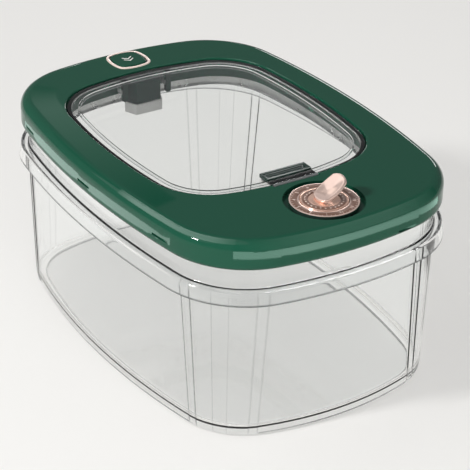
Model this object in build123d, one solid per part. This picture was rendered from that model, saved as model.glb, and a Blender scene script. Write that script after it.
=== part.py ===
"""Rice bucket: a clear tub and a lift-off lid with a flip cover, a push button and a date dial.

Millimetres, +Z up. The origin is on the ground under the middle of the tub. The button end, where a
person stands, is at -Y, and the cover's hinge and the dial are at the +Y end.
"""
from collections import namedtuple
from math import atan2, cos, hypot, sin, sqrt
import os

from build123d import *

# Plan of the rim: bowed sides joined by round corners. The lid and the neck are parallel to it.
rim_half_length = 188.0
rim_half_width = 132.3
rim_long_bow = 22.5
rim_short_bow = 25.1
rim_corner = 72.3

# Tub: the base is smaller and rounder than the rim.
base_length_inset = 3.5
base_width_inset = 6.0
base_long_bow = 27.0
base_short_bow = 33.0
base_corner = 61.0
base_round = 4.0
wall = 2.6
floor = 3.0
floor_recess = 4.5
floor_round = 5.0
foot_width = 9.0
collar_drop = 37.0
collar_height = 12.0
collar_ledge = 2.4
collar_low_outset = 5.8
collar_top_outset = 3.7
lip = 2.2
neck_top = 164.0
band_relief = 1.0
band_from_angle = 20.0
band_to_angle = 68.0
band_low = 6.0

# Lid shell.
lid_overlap = 7.5
lid_height = 25.5
lid_bulge = 3.0
lid_top_round = 9.0
lid_low_round = 5.0
lid_fit_gap = 0.8
skirt = 2.4
top_plate = 2.4
slot_length = 19.0
slot_height = 2.2
slot_depth = 1.5
side_slot_rise = 8.0
end_slot_rise = 3.2
side_slot_pitch = 110.0
end_slot_x = 53.0

# Window of the lid, set by the bands of lid that stay around it.
side_band = 27.9
front_band = 46.1
dial_band = 81.9
window_long_bow = 14.3
window_short_bow = 20.4
window_corner = 55.2
window_wall = 2.4
window_wall_depth = 20.0
window_edge_round = 1.0
ledge_width = 4.5
ledge_thickness = 2.2

# Liner under the shell, its seal and its screws.
liner = 2.2
liner_depth = 10.0
plug_gap = 1.5
seal_height = 2.0
liner_edge_gap = 0.4
boss_radius = 4.0
screw_radius = 1.45
screw_head_radius = 3.2
screw_head_height = 1.6
screw_grip = 12.0
screw_gap = 0.05
side_boss_y = 40.0
end_boss_x = 62.0

# Flip cover.
cover_thickness = 3.0
cover_sink = 1.5
cover_gap = 1.0
cover_seal_height = 1.5
cover_seal_width = 3.0
cover_seal_inset = 0.5
cover_edge_round = 0.6
cover_rib_inset = 10.4
cover_rib_width = 1.8
cover_rib_depth = 2.3

# Hinge of the cover.
barrel_radius = 2.2
barrel_gap = 0.8
hinge_half_width = 21.5
hinge_side_gap = 0.6
hinge_block_setback = 8.5
hinge_block_depth = 11.5
hinge_block_height = 3.2
hinge_tongue = 1.2
hinge_ear = 6.0
hinge_pocket_depth = 9.0
hinge_pocket_wall = 3.0
pin_radius = 1.2
running_gap = 0.05
hinge_tray_length = 38.5
hinge_tray_width = 7.6
hinge_tray_corner = 1.5
hinge_tray_depth = 0.8
hinge_slot_length = 33.0
hinge_slot_width = 3.2
hinge_slot_depth = 2.0
hinge_screw_spread = 18.8
hinge_screw_inset = 3.6
hinge_screw_radius = 1.2
hinge_screw_head_radius = 2.4
hinge_screw_head_height = 1.2
hinge_screw_grip = 1.6

# Button, its ring and its spring.
button_setback = 22.6
button_width = 36.2
button_bow = 4.5
button_corner = 8.5
button_ring_width = 2.8
button_ring_depth = 1.2
button_ring_proud = 0.8
button_gap = 1.1
button_proud = 0.5
button_crown_round = 0.8
button_plate = 2.0
button_flange = 1.9
button_flange_height = 1.4
button_travel = 2.5
stem_radius = 4.0
stem_length = 19.0
spring_coil_radius = 5.6
spring_wire_radius = 0.4
spring_turns = 5
spring_seat_gap = 0.1

# Guide under the button, and the latch slider that runs in it.
guide_wall = 1.8
guide_floor = 1.6
guide_drop = 9.6
guide_gap = 0.4
slider_half_width = 30.0
slider_thickness = 4.0
slider_drop = 2.0
slider_back = 3.5
slider_front_gap = 0.9
slider_rail_lip = 3.0
slider_rail_run_share = 0.8
stem_slot_half_width = 6.0
stem_slot_gap = 1.0
wedge_gap = 0.5
nose_spread = 22.0
nose_width = 5.0
nose_bite = 1.6
nose_slot_gap = 0.5

# Hooks under the cover, and the housing between them.
hook_width = 5.0
hook_thickness = 3.5
hook_clear = 2.0
hook_barb = 6.0
hook_round = 1.6
hook_notch_gap = 0.5
hook_notch_depth = 2.2
housing_wall_width = 37.0
housing_tip_width = 24.0
housing_reach = 13.6
housing_height = 20.0
housing_shell = 2.0
latch_guide_height = 9.8
latch_guide_lip = 1.2
latch_guide_inset = 2.0

# Dial.
dial_setback = 41.0
dial_recess_radius = 33.0
dial_recess_depth = 4.0
dial_recess_floor = 2.4
dial_recess_wall = 2.4
dial_radius = 28.1
dial_disc_radius = 19.6
dial_gap = 0.4
dial_face_height = 4.4
dial_disc_height = 4.8
dial_edge_round = 0.5
shaft_radius = 4.0
shaft_tail = 3.0
clip_radius = 7.0
clip_height = 1.2
clip_groove = 0.8
lever_length = 25.0
lever_rise = 17.0
lever_thickness = 3.6
lever_sag = 1.5
lever_neck_width = 11.0
lever_paddle_length = 19.5
lever_paddle_width = 17.5
lever_paddle_corner = 7.0
lever_heading = 180.0
lever_root_offset = 9.5

overrun = 5.0

# Places worked out from the sizes above.
neck_inset = skirt + lid_fit_gap
collar_low = neck_top - collar_drop
collar_top = collar_low + collar_height
floor_top = floor_recess + floor
lid_low = neck_top - lid_overlap
lid_top = lid_low + lid_height
plate_low = lid_top - top_plate
window_front_y = -rim_half_length + front_band
window_hinge_y = rim_half_length - dial_band
window_centre_y = (window_front_y + window_hinge_y) / 2
window_wall_low = lid_top - window_wall_depth
liner_low = neck_top - liner_depth
plug_inset = neck_inset + wall + plug_gap
flange_low = neck_top + seal_height
cover_top = lid_top - cover_sink
cover_low = cover_top - cover_thickness
ledge_top = cover_low - cover_seal_height
ledge_low = ledge_top - ledge_thickness
hinge_y = window_hinge_y
hinge_z = cover_top
cover_notch_y = hinge_y - barrel_radius - barrel_gap
button_y = -rim_half_length + button_setback
ring_low = lid_top - button_ring_depth
cap_width = button_width - 2 * button_ring_width - 2 * button_gap
cap_top = lid_top + button_ring_proud + button_proud
guide_low = plate_low - guide_drop
slider_top = guide_low - slider_drop
slider_low = slider_top - slider_thickness
slider_back_y = button_y - stem_radius - slider_back
stem_low = cap_top - button_plate - stem_length
dial_y = rim_half_length - dial_setback
dial_floor = lid_top - dial_recess_depth
dial_cup_low = dial_floor - dial_recess_floor
disc_top = dial_floor + dial_disc_height

Plan = namedtuple("Plan", "half_length half_width long_bow short_bow corner centre_y")
rim_plan = Plan(rim_half_length, rim_half_width, rim_long_bow, rim_short_bow, rim_corner, 0)
base_plan = Plan(rim_half_length - base_length_inset, rim_half_width - base_width_inset,
                 base_long_bow, base_short_bow, base_corner, 0)
window_plan = Plan((window_hinge_y - window_front_y) / 2, rim_half_width - side_band,
                   window_long_bow, window_short_bow, window_corner, window_centre_y)
button_plan = Plan(button_width / 2, button_width / 2, button_bow, button_bow, button_corner, button_y)


def long_radius(plan):
    return (plan.half_length ** 2 + plan.long_bow ** 2) / (2 * plan.long_bow)


def short_radius(plan):
    return (plan.half_width ** 2 + plan.short_bow ** 2) / (2 * plan.short_bow)


def side_x(plan, y, inset=0):
    """X of the plan's +X side at a given y."""
    radius = long_radius(plan)
    return plan.half_width - radius + sqrt((radius - inset) ** 2 - (y - plan.centre_y) ** 2)


def end_y(plan, x, end, inset=0):
    """Y of the plan's end (+1 or -1) at a given x."""
    radius = short_radius(plan)
    return plan.centre_y + end * (plan.half_length - radius + sqrt((radius - inset) ** 2 - x ** 2))


def corner_centre(plan):
    """Middle of the plan's round corner in the +X +Y quarter, counted from the plan's own middle."""
    long_x, short_y = plan.half_width - long_radius(plan), plan.half_length - short_radius(plan)
    span = hypot(long_x, short_y)
    reach_long, reach_short = long_radius(plan) - plan.corner, short_radius(plan) - plan.corner
    along = (reach_long ** 2 - reach_short ** 2 + span ** 2) / (2 * span)
    across = sqrt(reach_long ** 2 - along ** 2)
    return long_x - (along * long_x + across * short_y) / span, (along * short_y - across * long_x) / span


def outline(plan, inset=0):
    """Face bounded by eight tangent arcs: four bowed sides and four round corners."""
    corner_x, corner_y = corner_centre(plan)
    long_angle = atan2(corner_y, corner_x - plan.half_width + long_radius(plan))
    short_angle = atan2(corner_y - plan.half_length + short_radius(plan), corner_x)

    def at(angle):
        reach = plan.corner - inset
        return corner_x + reach * cos(angle), corner_y + reach * sin(angle)

    side, middle, end = at(long_angle), at((long_angle + short_angle) / 2), at(short_angle)
    side_tip, end_tip = (plan.half_width - inset, 0), (0, plan.half_length - inset)
    low_side, far_end = (side[0], -side[1]), (-end[0], end[1])

    def arc(points, flip_x, flip_y):
        return ThreePointArc(*[(flip_x * x, flip_y * y) for x, y in points])

    edges = [arc((low_side, side_tip, side), 1, 1), arc((side, middle, end), 1, 1),
             arc((end, end_tip, far_end), 1, 1), arc((end, middle, side), -1, 1),
             arc((side, side_tip, low_side), -1, 1), arc((side, middle, end), -1, -1),
             arc((far_end, end_tip, end), 1, -1), arc((end, middle, side), 1, -1)]
    return Pos(0, plan.centre_y) * make_face(edges)


def prism(sketch, low, high):
    return extrude(Pos(0, 0, low) * sketch, high - low, dir=(0, 0, 1))


def ring_prism(plan, outer_inset, inner_inset, low, high):
    return prism(outline(plan, outer_inset) - outline(plan, inner_inset), low, high)


def block(x, y, z):
    """Box between three pairs of limits."""
    centre = Pos((x[0] + x[1]) / 2, (y[0] + y[1]) / 2, (z[0] + z[1]) / 2)
    return centre * Box(x[1] - x[0], y[1] - y[0], z[1] - z[0])


def post(radius, low, high, x=0, y=0):
    return Pos(x, y, (low + high) / 2) * Cylinder(radius, high - low)


def rod(radius, half_length, y, z):
    """Cylinder along X."""
    return Pos(0, y, z) * Rot(0, 90, 0) * Cylinder(radius, 2 * half_length)


def top_edges(solid):
    return solid.faces().sort_by(Axis.Z)[-1].outer_wire().edges()


def low_edges(solid):
    return solid.faces().sort_by(Axis.Z)[0].outer_wire().edges()


def tapered(low_sketch, low, high_sketch, high):
    return loft([Pos(0, 0, low) * low_sketch, Pos(0, 0, high) * high_sketch], ruled=True)


def tub_wall(inset):
    """Solid wall body, parallel to the outside, from the ground to the collar."""
    return tapered(outline(base_plan, inset), 0, outline(rim_plan, neck_inset + inset), collar_low)


def corner_bands():
    """Raised upright bands on the four corners of the tub, each a slice of its round corner."""
    body = tub_wall(-band_relief)
    centre = Vector(*corner_centre(rim_plan))
    reach = 2 * rim_plan.corner
    ends = [centre + Vector(reach, 0).rotate(Axis.Z, angle) for angle in (band_from_angle, band_to_angle)]
    bands = []
    for flip_x in (-1, 1):
        for flip_y in (-1, 1):
            points = [(flip_x * point.X, flip_y * point.Y) for point in (centre, *ends)]
            slice_plan = make_face(Polyline(*points, close=True))
            bands.append(body & prism(slice_plan, band_low, collar_low))
    return bands


def make_tub():
    body = fillet(low_edges(tub_wall(0)), base_round)
    body += corner_bands()
    body += prism(outline(rim_plan, neck_inset), collar_low, neck_top)
    collar = tapered(outline(rim_plan, -collar_low_outset), collar_low,
                     outline(rim_plan, -collar_top_outset), collar_top)
    collar -= tapered(outline(rim_plan, lip - collar_low_outset), collar_low - overrun,
                      outline(rim_plan, lip - collar_top_outset), collar_top - collar_ledge)
    body += collar - prism(outline(rim_plan, neck_inset), collar_low, collar_top)
    hollow = tub_wall(wall) - prism(outline(base_plan, -overrun), -overrun, floor_top)
    hollow = fillet(low_edges(hollow), floor_round)
    body -= hollow
    body -= prism(outline(rim_plan, neck_inset + wall), collar_low, neck_top + overrun)
    return body - prism(outline(base_plan, foot_width), -overrun, floor_recess)


def boss_places():
    """Middles of the lid's screw bosses, between the window wall and the plug wall."""
    inner = plug_inset + liner
    places = []
    for sx in (-1, 1):
        for y in (-side_boss_y, side_boss_y):
            x = (side_x(window_plan, y, -window_wall) + side_x(rim_plan, y, inner)) / 2
            places.append((sx * x, y))
        for end in (-1, 1):
            far = end_y(rim_plan, end_boss_x, end, inner)
            near = end_y(window_plan, end_boss_x, end, -window_wall)
            places.append((sx * end_boss_x, (far + near) / 2))
    return places


def skirt_slots():
    """Shallow slots round the lid's side: three on each side, and one at each end, across the corner."""
    slots = []
    for turn in (-1, 1):
        z = (lid_low + side_slot_rise, lid_low + side_slot_rise + slot_height)
        for y in (-side_slot_pitch, 0, side_slot_pitch):
            face = side_x(rim_plan, y, -lid_bulge) - slot_depth
            reach = sorted((turn * face, turn * (face + slot_depth + overrun)))
            slots.append(block(reach, (y - slot_length / 2, y + slot_length / 2), z))
        z = (lid_low + end_slot_rise, lid_low + end_slot_rise + slot_height)
        x = -turn * end_slot_x
        face = end_y(rim_plan, x, turn, -lid_bulge) - turn * slot_depth
        reach = sorted((face, face + turn * (slot_depth + overrun)))
        slots.append(block((x - slot_length / 2, x + slot_length / 2), reach, z))
    return slots


def hinge_pocket():
    """Pocket in the lid that the cover's barrel turns in: its solid and its room."""
    half = hinge_half_width + hinge_side_gap
    back = hinge_y + barrel_radius + barrel_gap
    low = lid_top - hinge_pocket_depth
    solid = block((-half - hinge_ear, half + hinge_ear), (hinge_y - pin_radius, back + hinge_pocket_wall),
                  (low, plate_low))
    room = block((-half, half), (hinge_y - ledge_width - overrun, back), (ledge_top, lid_top + overrun))
    return solid, room


def button_hole(gap):
    """Plan of the button's cap, let out by a gap."""
    return outline(button_plan, button_ring_width + button_gap - gap)


def make_lid_frame():
    body = prism(outline(rim_plan, -lid_bulge), lid_low, lid_top)
    body = fillet(top_edges(body), lid_top_round)
    body = fillet(low_edges(body), lid_low_round)
    body -= prism(outline(rim_plan, skirt), lid_low - overrun, plate_low)
    body += ring_prism(window_plan, -window_wall, 0, window_wall_low, plate_low)
    solid, room = hinge_pocket()
    body += solid
    body += post(dial_recess_radius + dial_recess_wall, dial_cup_low, plate_low, y=dial_y)
    for x, y in boss_places():
        body += post(boss_radius, liner_low + liner, plate_low, x, y)
    body -= prism(outline(window_plan), lid_low - overrun, lid_top + overrun)
    body = fillet(body.faces().sort_by(Axis.Z)[-1].inner_wires()[0].edges(), window_edge_round)
    body += ring_prism(window_plan, 0, ledge_width, ledge_low, ledge_top)
    body -= room
    body -= rod(pin_radius + running_gap, hinge_half_width + hinge_side_gap + hinge_ear + overrun,
                hinge_y, hinge_z)
    body -= post(dial_recess_radius, dial_floor, lid_top + overrun, y=dial_y)
    body -= post(shaft_radius + running_gap, dial_cup_low - overrun, dial_floor + overrun, y=dial_y)
    body -= prism(button_hole(button_gap), plate_low - overrun, lid_top + overrun)
    body -= prism(outline(button_plan), ring_low, lid_top + overrun)
    boss_low = liner_low + liner
    for x, y in boss_places():
        body -= post(screw_radius + screw_gap, boss_low - overrun, boss_low + screw_grip, x, y)
    half = nose_width / 2 + nose_slot_gap
    for sx in (-1, 1):
        slot_x = (sx * nose_spread - half, sx * nose_spread + half)
        body -= block(slot_x, (window_front_y - window_wall - overrun, window_front_y + overrun),
                      (slider_low - nose_slot_gap, slider_top + nose_slot_gap))
    for slot in skirt_slots():
        body -= slot
    return body


def make_lid_liner():
    low = liner_low
    body = prism(outline(rim_plan, plug_inset) - outline(window_plan), low, low + liner)
    body += ring_prism(rim_plan, plug_inset, plug_inset + liner, low, flange_low + liner)
    body += ring_prism(rim_plan, skirt + liner_edge_gap, plug_inset, flange_low, flange_low + liner)
    body += ring_prism(window_plan, -window_wall, 0, low, window_wall_low)
    for x, y in boss_places():
        body -= post(screw_radius + screw_gap, low - overrun, low + liner + overrun, x, y)
    return body


def make_lid_seal():
    return ring_prism(rim_plan, skirt + liner_edge_gap, plug_inset, neck_top, flange_low)


def make_lid_screws():
    shank_top = liner_low + liner + screw_grip
    return [post(screw_head_radius, liner_low - screw_head_height, liner_low, x, y)
            + post(screw_radius, liner_low, shank_top, x, y) for x, y in boss_places()]


def make_flip_cover():
    body = prism(outline(window_plan, cover_gap), cover_low, cover_top)
    body = fillet(top_edges(body), cover_edge_round)
    body += ring_prism(window_plan, cover_rib_inset, cover_rib_inset + cover_rib_width,
                       cover_low - cover_rib_depth, cover_low)
    half = hinge_half_width + hinge_side_gap
    body -= block((-half, half), (cover_notch_y, hinge_y + overrun),
                  (cover_low - overrun, cover_top + overrun))
    for x, y in hinge_screw_places():
        body -= post(hinge_screw_radius + screw_gap, cover_low - overrun, cover_top + overrun, x, y)
    return body


def make_cover_seal():
    outer = cover_gap + cover_seal_inset
    return ring_prism(window_plan, outer, outer + cover_seal_width, ledge_top, cover_low)


def hinge_screw_places():
    y = hinge_y - hinge_block_setback - hinge_block_depth + hinge_screw_inset
    return [(-hinge_screw_spread, y), (hinge_screw_spread, y)]


def make_hinge_block():
    """Raised block with a slot in its tray, and the thin tongue and barrel that it turns on."""
    top = cover_top + hinge_block_height
    half = hinge_half_width
    near = hinge_y - hinge_block_setback
    body = block((-half, half), (near - hinge_block_depth, near), (cover_top, top))
    body += block((-half, half), (near, hinge_y), (cover_top, cover_top + hinge_tongue))
    body += rod(barrel_radius, half, hinge_y, hinge_z)
    body -= rod(pin_radius + running_gap, half + overrun, hinge_y, hinge_z)
    middle = Pos(0, near - hinge_block_depth / 2)
    tray = middle * RectangleRounded(hinge_tray_length, hinge_tray_width, hinge_tray_corner)
    body -= prism(tray, top - hinge_tray_depth, top + overrun)
    slot = middle * SlotOverall(hinge_slot_length, hinge_slot_width)
    body -= prism(slot, top - hinge_slot_depth, top + overrun)
    for x, y in hinge_screw_places():
        body -= post(hinge_screw_radius + screw_gap, cover_top - overrun, cover_top + hinge_screw_grip, x, y)
    return body


def make_hinge_screws():
    return [post(hinge_screw_head_radius, cover_low - hinge_screw_head_height, cover_low, x, y)
            + post(hinge_screw_radius, cover_low, cover_top + hinge_screw_grip, x, y)
            for x, y in hinge_screw_places()]


def make_hinge_pin():
    return rod(pin_radius, hinge_half_width + hinge_side_gap + hinge_ear, hinge_y, hinge_z)


def make_button_ring():
    ring = ring_prism(button_plan, 0, button_ring_width, ring_low, lid_top + button_ring_proud)
    return fillet(top_edges(ring), button_ring_proud / 2)


def make_button_cap():
    flange_z = plate_low - button_flange_height
    body = prism(button_hole(0), flange_z, cap_top)
    body = fillet(top_edges(body), button_crown_round)
    body += prism(button_hole(button_flange), flange_z, plate_low)
    body -= prism(button_hole(-button_plate), flange_z - overrun, cap_top - button_plate)
    body += post(stem_radius, stem_low, cap_top - button_plate, y=button_y)
    return body - slant_prism(0)


def wedge_line(shift):
    """Ends (y, z) of the slanted line where the stem meets the slider."""
    start = (button_y - 2 * stem_radius, stem_low + 2 * stem_radius + shift)
    stop = (button_y + 2 * stem_radius, stem_low - 2 * stem_radius + shift)
    return start, stop


def slant_prism(shift):
    """Prism below the slanted plane, wide enough for the stem's slot."""
    start, stop = wedge_line(shift)
    section = Plane.YZ * make_face(Polyline(start, stop, (start[0], stop[1]), close=True))
    return extrude(section, 2 * stem_slot_half_width, both=True)


def make_button_spring():
    low = guide_low + spring_wire_radius + spring_seat_gap
    high = cap_top - button_plate - spring_wire_radius - spring_seat_gap
    path = Pos(0, button_y, low) * Helix((high - low) / spring_turns, high - low, spring_coil_radius)
    section = Plane(origin=path @ 0, z_dir=path % 0) * Circle(spring_wire_radius)
    return sweep(section, path=path)


def make_button_guide():
    well = button_hole(button_flange + guide_gap)
    shell = button_hole(button_flange + guide_gap + guide_wall)
    body = prism(shell - well, guide_low, plate_low)
    rail_in = slider_half_width + guide_gap
    rail_out = rail_in + guide_wall
    floor_y = (slider_back_y, button_y + cap_width / 2)
    body += block((-rail_out, rail_out), floor_y, (guide_low - guide_floor, guide_low))
    lip_top = slider_low - guide_gap
    for sx in (-1, 1):
        leg = sorted((sx * rail_in, sx * rail_out))
        foot = sorted((sx * (rail_in - slider_rail_lip), sx * rail_out))
        run = (floor_y[1] - slider_rail_run_share * (floor_y[1] - floor_y[0]), floor_y[1])
        body += block(leg, run, (lip_top - guide_floor, guide_low))
        body += block(foot, run, (lip_top - guide_floor, lip_top))
    return body - post(stem_radius + guide_gap, guide_low - guide_floor - overrun, plate_low, y=button_y)


def hook_front_y():
    return end_y(window_plan, nose_spread, -1, ledge_width) + hook_clear


def make_latch_slider():
    front = window_front_y - window_wall - slider_front_gap
    body = block((-slider_half_width, slider_half_width), (slider_back_y, front), (slider_low, slider_top))
    slot_y = (button_y - stem_radius - stem_slot_gap, button_y + stem_radius + stem_slot_gap + button_travel)
    body -= block((-stem_slot_half_width, stem_slot_half_width), slot_y,
                  (slider_low - overrun, slider_top + overrun))
    ramp = block((-stem_slot_half_width, stem_slot_half_width), slot_y, (slider_low, slider_top))
    body += ramp & slant_prism(-wedge_gap)
    for sx in (-1, 1):
        nose_x = (sx * nose_spread - nose_width / 2, sx * nose_spread + nose_width / 2)
        body += block(nose_x, (front - nose_width, hook_front_y() + nose_bite), (slider_low, slider_top))
    return body


def make_cover_hooks():
    front = hook_front_y()
    low = slider_low - hook_notch_gap - hook_barb
    hooks = []
    for sx in (-1, 1):
        hook_x = (sx * nose_spread - hook_width / 2, sx * nose_spread + hook_width / 2)
        hook = block(hook_x, (front, front + hook_thickness), (low, cover_low))
        hook = fillet(hook.faces().sort_by(Axis.Z)[0].edges().filter_by(Axis.Y), hook_round)
        notch_x = (hook_x[0] - overrun, hook_x[1] + overrun)
        hooks.append(hook - block(notch_x, (front - overrun, front + hook_notch_depth),
                                  (slider_low - hook_notch_gap, slider_top + hook_notch_gap)))
    return hooks


def trapezoid(inset):
    """Plan of the latch housing: wide at the window wall, narrow at its tip."""
    wall_half, tip_half = housing_wall_width / 2 - inset, housing_tip_width / 2 - inset
    back, tip = window_front_y - overrun, window_front_y + housing_reach - inset
    front = window_front_y + inset
    return make_face(Polyline((-wall_half, back), (wall_half, back), (wall_half, front),
                              (tip_half, tip), (-tip_half, tip), (-wall_half, front), close=True))


def make_latch_housing():
    low = ledge_low - housing_height
    body = prism(trapezoid(0) & outline(window_plan), low, ledge_low)
    return body - prism(trapezoid(housing_shell) & outline(window_plan, housing_shell), low - overrun,
                        ledge_low - housing_shell)


def make_latch_guide():
    top = ledge_low - housing_height
    low = top - latch_guide_height
    body = prism(trapezoid(-latch_guide_lip) & outline(window_plan, latch_guide_inset), low, top)
    room = trapezoid(housing_shell) & outline(window_plan, latch_guide_inset + housing_shell)
    return body - prism(room, low + housing_shell, top + overrun)


def make_dial_face():
    high = dial_floor + dial_face_height
    ring = post(dial_radius, dial_floor, high, y=dial_y)
    ring = fillet(top_edges(ring), dial_edge_round)
    return ring - post(dial_disc_radius + dial_gap, dial_floor - overrun, high + overrun, y=dial_y)


def make_dial_disc():
    disc = post(dial_disc_radius, dial_floor, disc_top, y=dial_y)
    return fillet(top_edges(disc), dial_edge_round)


def make_dial_shaft():
    shaft = post(shaft_radius, dial_cup_low - clip_height - shaft_tail, dial_floor, y=dial_y)
    groove = post(shaft_radius + overrun, dial_cup_low - clip_height, dial_cup_low, y=dial_y)
    groove -= post(shaft_radius - clip_groove, dial_cup_low - clip_height, dial_cup_low, y=dial_y)
    return shaft - groove


def make_dial_clip():
    clip = post(clip_radius, dial_cup_low - clip_height, dial_cup_low, y=dial_y)
    bore = shaft_radius - clip_groove + screw_gap
    clip -= post(bore, dial_cup_low - clip_height, dial_cup_low, y=dial_y)
    mouth = block((0, clip_radius + overrun), (dial_y - bore, dial_y + bore),
                  (dial_cup_low - clip_height, dial_cup_low))
    return clip - mouth


def make_dial_lever():
    """Tongue that curves up from the disc: a neck that widens to a round paddle."""
    half = lever_length / 2
    spine = Plane.XZ * ThreePointArc((-half, 0), (0, lever_rise / 2 - lever_sag), (half, lever_rise))
    strip = Rectangle(lever_thickness, lever_paddle_width + overrun)
    tongue = sweep(Plane(origin=spine @ 0, z_dir=spine % 0) * strip, path=spine)
    plan = Rectangle(lever_length, lever_neck_width)
    plan += Pos(half - lever_paddle_length / 2) * RectangleRounded(lever_paddle_length, lever_paddle_width,
                                                                   lever_paddle_corner)
    tongue &= prism(plan, -overrun, lever_rise + overrun)
    tongue -= block((-lever_length, lever_length), (-lever_length, lever_length), (-lever_length, 0))
    return Pos(0, dial_y, disc_top) * Rot(0, 0, lever_heading) * Pos(half - lever_root_offset) * tongue


def solids_of(made):
    """Separate solids of one sub-part, which may come as a list."""
    pieces = made if isinstance(made, list) else [made]
    return [solid for piece in pieces for solid in piece.solids()]


makers = {
    "tub": make_tub,
    "lid_frame": make_lid_frame,
    "lid_liner": make_lid_liner,
    "lid_seal": make_lid_seal,
    "lid_screws": make_lid_screws,
    "flip_cover": make_flip_cover,
    "cover_seal": make_cover_seal,
    "cover_hooks": make_cover_hooks,
    "hinge_block": make_hinge_block,
    "hinge_screws": make_hinge_screws,
    "hinge_pin": make_hinge_pin,
    "button_ring": make_button_ring,
    "button_cap": make_button_cap,
    "button_spring": make_button_spring,
    "button_guide": make_button_guide,
    "latch_slider": make_latch_slider,
    "latch_housing": make_latch_housing,
    "latch_guide": make_latch_guide,
    "dial_face": make_dial_face,
    "dial_disc": make_dial_disc,
    "dial_shaft": make_dial_shaft,
    "dial_clip": make_dial_clip,
    "dial_lever": make_dial_lever,
}

os.makedirs("parts", exist_ok=True)
for node, make in makers.items():
    solids = solids_of(make())
    shape = solids[0] if len(solids) == 1 else Compound(children=solids)
    export_step(shape, os.path.join("parts", node + ".step"))
    print(node, len(solids), round(sum(solid.volume for solid in solids)))
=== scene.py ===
# %% [markdown]
# # A clear rice bucket with a dark green lid
# The bucket is a clear moulded tub with a glossy green lid. The lid has a clear flip cover, a push button
# that frees it, and a rose-gold date dial. This lesson dresses the engineering model: it loads the exact
# solids, keeps the ones whose shape is right, and models the rest again with the softness, marks and
# finishes that the real thing shows.

# %% Load the frame
import math

import bmesh
import bpy
from mathutils import Matrix, Vector


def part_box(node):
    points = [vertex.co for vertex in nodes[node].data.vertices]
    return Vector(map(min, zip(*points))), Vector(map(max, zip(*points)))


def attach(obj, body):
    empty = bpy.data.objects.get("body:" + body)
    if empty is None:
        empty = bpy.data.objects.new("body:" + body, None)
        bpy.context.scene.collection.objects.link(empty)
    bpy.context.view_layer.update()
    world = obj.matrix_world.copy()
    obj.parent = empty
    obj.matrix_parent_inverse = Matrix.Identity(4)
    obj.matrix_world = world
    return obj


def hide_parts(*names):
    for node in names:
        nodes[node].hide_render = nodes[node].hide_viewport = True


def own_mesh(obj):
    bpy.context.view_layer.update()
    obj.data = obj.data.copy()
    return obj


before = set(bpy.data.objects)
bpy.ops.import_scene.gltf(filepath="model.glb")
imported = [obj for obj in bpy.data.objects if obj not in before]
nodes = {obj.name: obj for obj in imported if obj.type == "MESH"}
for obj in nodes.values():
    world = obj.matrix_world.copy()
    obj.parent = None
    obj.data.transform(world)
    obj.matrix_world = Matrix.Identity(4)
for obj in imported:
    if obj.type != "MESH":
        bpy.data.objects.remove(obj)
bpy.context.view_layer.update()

# %% [markdown]
# ## Camera
# The photograph was taken with a long lens, from the dial's end and above. Azimuth, elevation and roll turn
# a camera that first looks along +Y, and the distance backs it away from a point inside the tub. A matrix
# made of three plain rotations is easier to read than a tracking constraint, and it never flips.

# %% Place the camera
camera_azimuth = math.radians(147.21)
camera_elevation = math.radians(28.86)
camera_roll = math.radians(1.27)
camera_distance = 1.660
camera_target = Vector((-0.0094, 0.0045, 0.080))
focal_pixels = 1917.3
frame_pixels = 470

camera_data = bpy.data.cameras.new("camera")
camera_data.sensor_width = 36.0
camera_data.lens = camera_data.sensor_width * focal_pixels / frame_pixels
camera = bpy.data.objects.new("camera", camera_data)
turn = (Matrix.Rotation(camera_azimuth, 4, "Z")
        @ Matrix.Rotation(math.pi / 2 - camera_elevation, 4, "X")
        @ Matrix.Rotation(camera_roll, 4, "Z"))
back = turn.to_3x3() @ Vector((0, 0, 1))
camera.matrix_world = Matrix.Translation(camera_target + camera_distance * back) @ turn
bpy.context.scene.collection.objects.link(camera)
bpy.context.scene.camera = camera
bpy.context.scene.view_settings.view_transform = "Standard"
print("lens", round(camera_data.lens, 1), "mm")

# %% [markdown]
# ## Floor and light
# Gloss and clear plastic only show what they reflect, so the light matters as much as the finish. A small
# strong lamp on the left throws the shadow, a wide one overhead fills it, a strip behind draws the thin line
# on the far shoulder, and a low one in front lifts the near side. The floor is one wide sheet in a warm
# white, and a share of it glows for the camera, for reflections and through clear plastic, which keeps it
# pale under the shadow.

# %% Floor
floor_size = 12.0
floor_color, floor_roughness, glow_color = (0.80, 0.79, 0.77), 0.6, (0.95, 0.935, 0.905)
floor_data = bpy.data.meshes.new("floor")
floor_mesh = bmesh.new()
bmesh.ops.create_grid(floor_mesh, x_segments=1, y_segments=1, size=floor_size / 2)
floor_mesh.to_mesh(floor_data)
floor_mesh.free()
floor = bpy.data.objects.new("floor", floor_data)
bpy.context.scene.collection.objects.link(floor)

floor_finish = bpy.data.materials.new("floor_finish")
floor_finish.use_nodes = True
floor_tree = floor_finish.node_tree
floor_shader = floor_tree.nodes["Principled BSDF"]
floor_shader.inputs["Base Color"].default_value = (*floor_color, 1)
floor_shader.inputs["Roughness"].default_value = floor_roughness
floor_glow = floor_tree.nodes.new("ShaderNodeEmission")
floor_glow.inputs["Color"].default_value = (*glow_color, 1)
floor_path = floor_tree.nodes.new("ShaderNodeLightPath")
seen_shares = {"Is Camera Ray": 0.48, "Is Glossy Ray": 0.5, "Is Transmission Ray": 0.7}
shares = []
for ray, share in seen_shares.items():
    part = floor_tree.nodes.new("ShaderNodeMath")
    part.operation = "MULTIPLY"
    part.inputs[1].default_value = share
    floor_tree.links.new(floor_path.outputs[ray], part.inputs[0])
    shares.append(part.outputs[0])
seen = shares[0]
for share in shares[1:]:
    either = floor_tree.nodes.new("ShaderNodeMath")
    either.operation = "MAXIMUM"
    floor_tree.links.new(seen, either.inputs[0])
    floor_tree.links.new(share, either.inputs[1])
    seen = either.outputs[0]
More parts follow.
